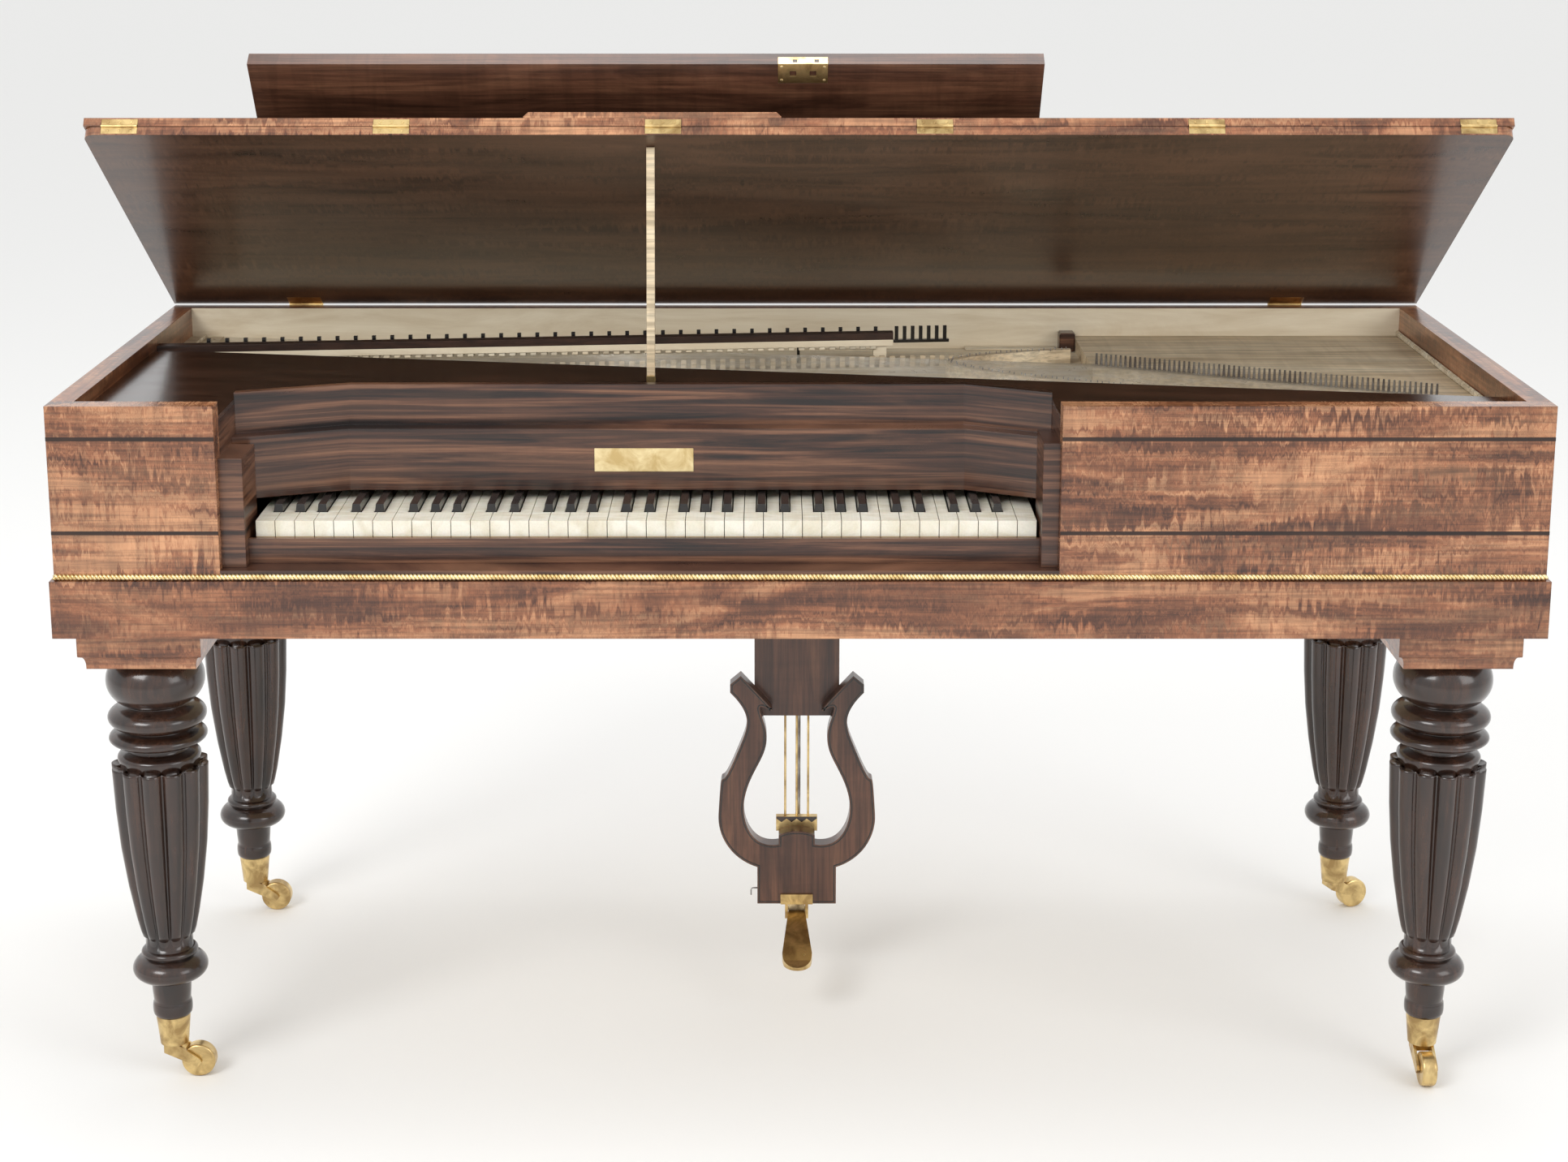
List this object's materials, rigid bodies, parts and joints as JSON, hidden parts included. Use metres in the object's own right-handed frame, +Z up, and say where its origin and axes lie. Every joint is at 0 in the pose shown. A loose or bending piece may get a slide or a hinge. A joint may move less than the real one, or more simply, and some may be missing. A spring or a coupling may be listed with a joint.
{
  "type": "square piano",
  "caption": "Oblong keyboard instrument on reeded turned legs with casters, propped folding lid, keywell at the left, pedal lyre under the case",
  "frame": {"origin": "on the floor under the middle of the case", "axes": "+Z up, -Y toward the player, +X to the player's right"},
  "size_m": [1.75, 0.6914, 1.2533],
  "materials": {
    "mahogany": "french polished, figured",
    "dark_wood": "french polished, near black",
    "rosewood": "polished",
    "plain_wood": "bare wood",
    "spruce": "thin varnish",
    "ivory": "ivory covered wood",
    "ebony": "black polished wood",
    "brass": "lightly tarnished",
    "steel": "drawn wire and pins"
  },
  "bodies": {
    "case": {"base_rail": "mahogany", "bottom_board": "plain_wood", "side_boards": "mahogany", "back_board": "mahogany", "front_boards": "mahogany", "rope_moulding": "brass", "other_naturals": "ivory", "other_sharps": "ebony", "key_frame": "plain_wood", "key_slip": "rosewood", "key_cheeks": "mahogany", "nameboard": "rosewood", "inner_cover": "dark_wood", "hammers": "plain_wood", "soundboard": "spruce", "wrest_plank": "plain_wood", "tuning_pins": "steel", "hitch_rail": "plain_wood", "strings": "steel", "bridge": "plain_wood", "damper_rail": "dark_wood", "leg_front_left": "dark_wood", "leg_front_right": "dark_wood", "leg_rear_left": "dark_wood", "leg_rear_right": "dark_wood", "ferrules": "brass", "lyre": "dark_wood", "lyre_fittings": "brass", "case_fittings": "brass"},
    "lid": {"lid": "mahogany", "lid_leaves": "brass"},
    "flap": {"flap": "mahogany", "flap_leaves": "brass", "music_ledge": "mahogany"},
    "lockboard": {"lockboard": "mahogany", "lock_fittings": "brass"},
    "prop": {"prop": "plain_wood"},
    "pedal": {"pedal": "brass"},
    "pedal_rod": {"pedal_rod": "steel"},
    "dampers": {"dampers": "ebony"},
    "key_c": {"key_c": "ivory"},
    "key_c_sharp": {"key_c_sharp": "ebony"},
    "key_d": {"key_d": "ivory"},
    "key_d_sharp": {"key_d_sharp": "ebony"},
    "key_e": {"key_e": "ivory"},
    "key_f": {"key_f": "ivory"},
    "key_f_sharp": {"key_f_sharp": "ebony"},
    "key_g": {"key_g": "ivory"},
    "key_g_sharp": {"key_g_sharp": "ebony"},
    "key_a": {"key_a": "ivory"},
    "key_a_sharp": {"key_a_sharp": "ebony"},
    "key_b": {"key_b": "ivory"},
    "caster_fork_front_left": {"caster_fork_front_left": "brass"},
    "caster_wheel_front_left": {"caster_wheel_front_left": "brass"},
    "caster_fork_front_right": {"caster_fork_front_right": "brass"},
    "caster_wheel_front_right": {"caster_wheel_front_right": "brass"},
    "caster_fork_rear_left": {"caster_fork_rear_left": "brass"},
    "caster_wheel_rear_left": {"caster_wheel_rear_left": "brass"},
    "caster_fork_rear_right": {"caster_fork_rear_right": "brass"},
    "caster_wheel_rear_right": {"caster_wheel_rear_right": "brass"}
  },
  "joints": [
    {"name": "lid_hinge", "type": "hinge", "parent": "case", "child": "lid", "pos_m": [0, 0.3426, 0.8733], "axis": [-1, 0, 0], "range_deg": [0, 57]},
    {"name": "flap_hinge", "type": "hinge", "parent": "lid", "child": "flap", "pos_m": [0, -0.09144, 1.16888], "axis": [1, 0, 0], "range_deg": [0, 180]},
    {"name": "lockboard_hinge", "type": "hinge", "parent": "flap", "child": "lockboard", "pos_m": [0, 0.02832, 1.10542], "axis": [-1, 0, 0], "range_deg": [0, 68]},
    {"name": "prop_swing", "type": "hinge", "parent": "case", "child": "prop", "pos_m": [-0.182, -0.119, 0.863], "axis": [0, -1, 0], "range_deg": [0, 90]},
    {"name": "pedal_hinge", "type": "hinge", "parent": "case", "child": "pedal", "pos_m": [0, 0.013, 0.107], "axis": [1, 0, 0], "range_deg": [0, 9], "stiffness_Nm_per_rad": 8, "springref_deg": -8.59},
    {"name": "pedal_rod_slide", "type": "slide", "parent": "case", "child": "pedal_rod", "axis": [0, 0, 1], "range_m": [0, 0.0062]},
    {"name": "damper_lift", "type": "slide", "parent": "case", "child": "dampers", "axis": [0, 0, 1], "range_m": [0, 0.0062]},
    {"name": "key_c_tip", "type": "hinge", "parent": "case", "child": "key_c", "pos_m": [-0.2155, -0.125, 0.7045], "axis": [1, 0, 0], "range_deg": [0, 2.6], "stiffness_Nm_per_rad": 2, "springref_deg": -1.72},
    {"name": "key_c_sharp_tip", "type": "hinge", "parent": "case", "child": "key_c_sharp", "pos_m": [-0.2065, -0.125, 0.7045], "axis": [1, 0, 0], "range_deg": [0, 2.6], "stiffness_Nm_per_rad": 2, "springref_deg": -1.72},
    {"name": "key_d_tip", "type": "hinge", "parent": "case", "child": "key_d", "pos_m": [-0.1925, -0.125, 0.7045], "axis": [1, 0, 0], "range_deg": [0, 2.6], "stiffness_Nm_per_rad": 2, "springref_deg": -1.72},
    {"name": "key_d_sharp_tip", "type": "hinge", "parent": "case", "child": "key_d_sharp", "pos_m": [-0.1785, -0.125, 0.7045], "axis": [1, 0, 0], "range_deg": [0, 2.6], "stiffness_Nm_per_rad": 2, "springref_deg": -1.72},
    {"name": "key_e_tip", "type": "hinge", "parent": "case", "child": "key_e", "pos_m": [-0.1695, -0.125, 0.7045], "axis": [1, 0, 0], "range_deg": [0, 2.6], "stiffness_Nm_per_rad": 2, "springref_deg": -1.72},
    {"name": "key_f_tip", "type": "hinge", "parent": "case", "child": "key_f", "pos_m": [-0.1465, -0.125, 0.7045], "axis": [1, 0, 0], "range_deg": [0, 2.6], "stiffness_Nm_per_rad": 2, "springref_deg": -1.72},
    {"name": "key_f_sharp_tip", "type": "hinge", "parent": "case", "child": "key_f_sharp", "pos_m": [-0.138, -0.125, 0.7045], "axis": [1, 0, 0], "range_deg": [0, 2.6], "stiffness_Nm_per_rad": 2, "springref_deg": -1.72},
    {"name": "key_g_tip", "type": "hinge", "parent": "case", "child": "key_g", "pos_m": [-0.1235, -0.125, 0.7045], "axis": [1, 0, 0], "range_deg": [0, 2.6], "stiffness_Nm_per_rad": 2, "springref_deg": -1.72},
    {"name": "key_g_sharp_tip", "type": "hinge", "parent": "case", "child": "key_g_sharp", "pos_m": [-0.112, -0.125, 0.7045], "axis": [1, 0, 0], "range_deg": [0, 2.6], "stiffness_Nm_per_rad": 2, "springref_deg": -1.72},
    {"name": "key_a_tip", "type": "hinge", "parent": "case", "child": "key_a", "pos_m": [-0.1005, -0.125, 0.7045], "axis": [1, 0, 0], "range_deg": [0, 2.6], "stiffness_Nm_per_rad": 2, "springref_deg": -1.72},
    {"name": "key_a_sharp_tip", "type": "hinge", "parent": "case", "child": "key_a_sharp", "pos_m": [-0.086, -0.125, 0.7045], "axis": [1, 0, 0], "range_deg": [0, 2.6], "stiffness_Nm_per_rad": 2, "springref_deg": -1.72},
    {"name": "key_b_tip", "type": "hinge", "parent": "case", "child": "key_b", "pos_m": [-0.0775, -0.125, 0.7045], "axis": [1, 0, 0], "range_deg": [0, 2.6], "stiffness_Nm_per_rad": 2, "springref_deg": -1.72},
    {"name": "swivel_front_left", "type": "hinge", "parent": "case", "child": "caster_fork_front_left", "pos_m": [-0.779, -0.255, 0.0437], "axis": [0, 0, 1], "continuous": true},
    {"name": "roll_front_left", "type": "hinge", "parent": "caster_fork_front_left", "child": "caster_wheel_front_left", "pos_m": [-0.749, -0.255, 0.021], "axis": [0, 1, 0], "continuous": true},
    {"name": "swivel_front_right", "type": "hinge", "parent": "case", "child": "caster_fork_front_right", "pos_m": [0.779, -0.255, 0.0437], "axis": [0, 0, 1], "continuous": true},
    {"name": "roll_front_right", "type": "hinge", "parent": "caster_fork_front_right", "child": "caster_wheel_front_right", "pos_m": [0.779, -0.285, 0.021], "axis": [1, 0, 0], "continuous": true},
    {"name": "swivel_rear_left", "type": "hinge", "parent": "case", "child": "caster_fork_rear_left", "pos_m": [-0.779, 0.266, 0.0437], "axis": [0, 0, 1], "continuous": true},
    {"name": "roll_rear_left", "type": "hinge", "parent": "caster_fork_rear_left", "child": "caster_wheel_rear_left", "pos_m": [-0.749, 0.266, 0.021], "axis": [0, 1, 0], "continuous": true},
    {"name": "swivel_rear_right", "type": "hinge", "parent": "case", "child": "caster_fork_rear_right", "pos_m": [0.779, 0.266, 0.0437], "axis": [0, 0, 1], "continuous": true},
    {"name": "roll_rear_right", "type": "hinge", "parent": "caster_fork_rear_right", "child": "caster_wheel_rear_right", "pos_m": [0.80719, 0.27626, 0.021], "axis": [-0.342, 0.9397, 0], "continuous": true}
  ],
  "couplings": [
    {"joint": "pedal_rod_slide", "follows": "pedal_hinge", "m_per_rad": 0.0388},
    {"joint": "damper_lift", "follows": "pedal_hinge", "m_per_rad": 0.0388}
  ]
}
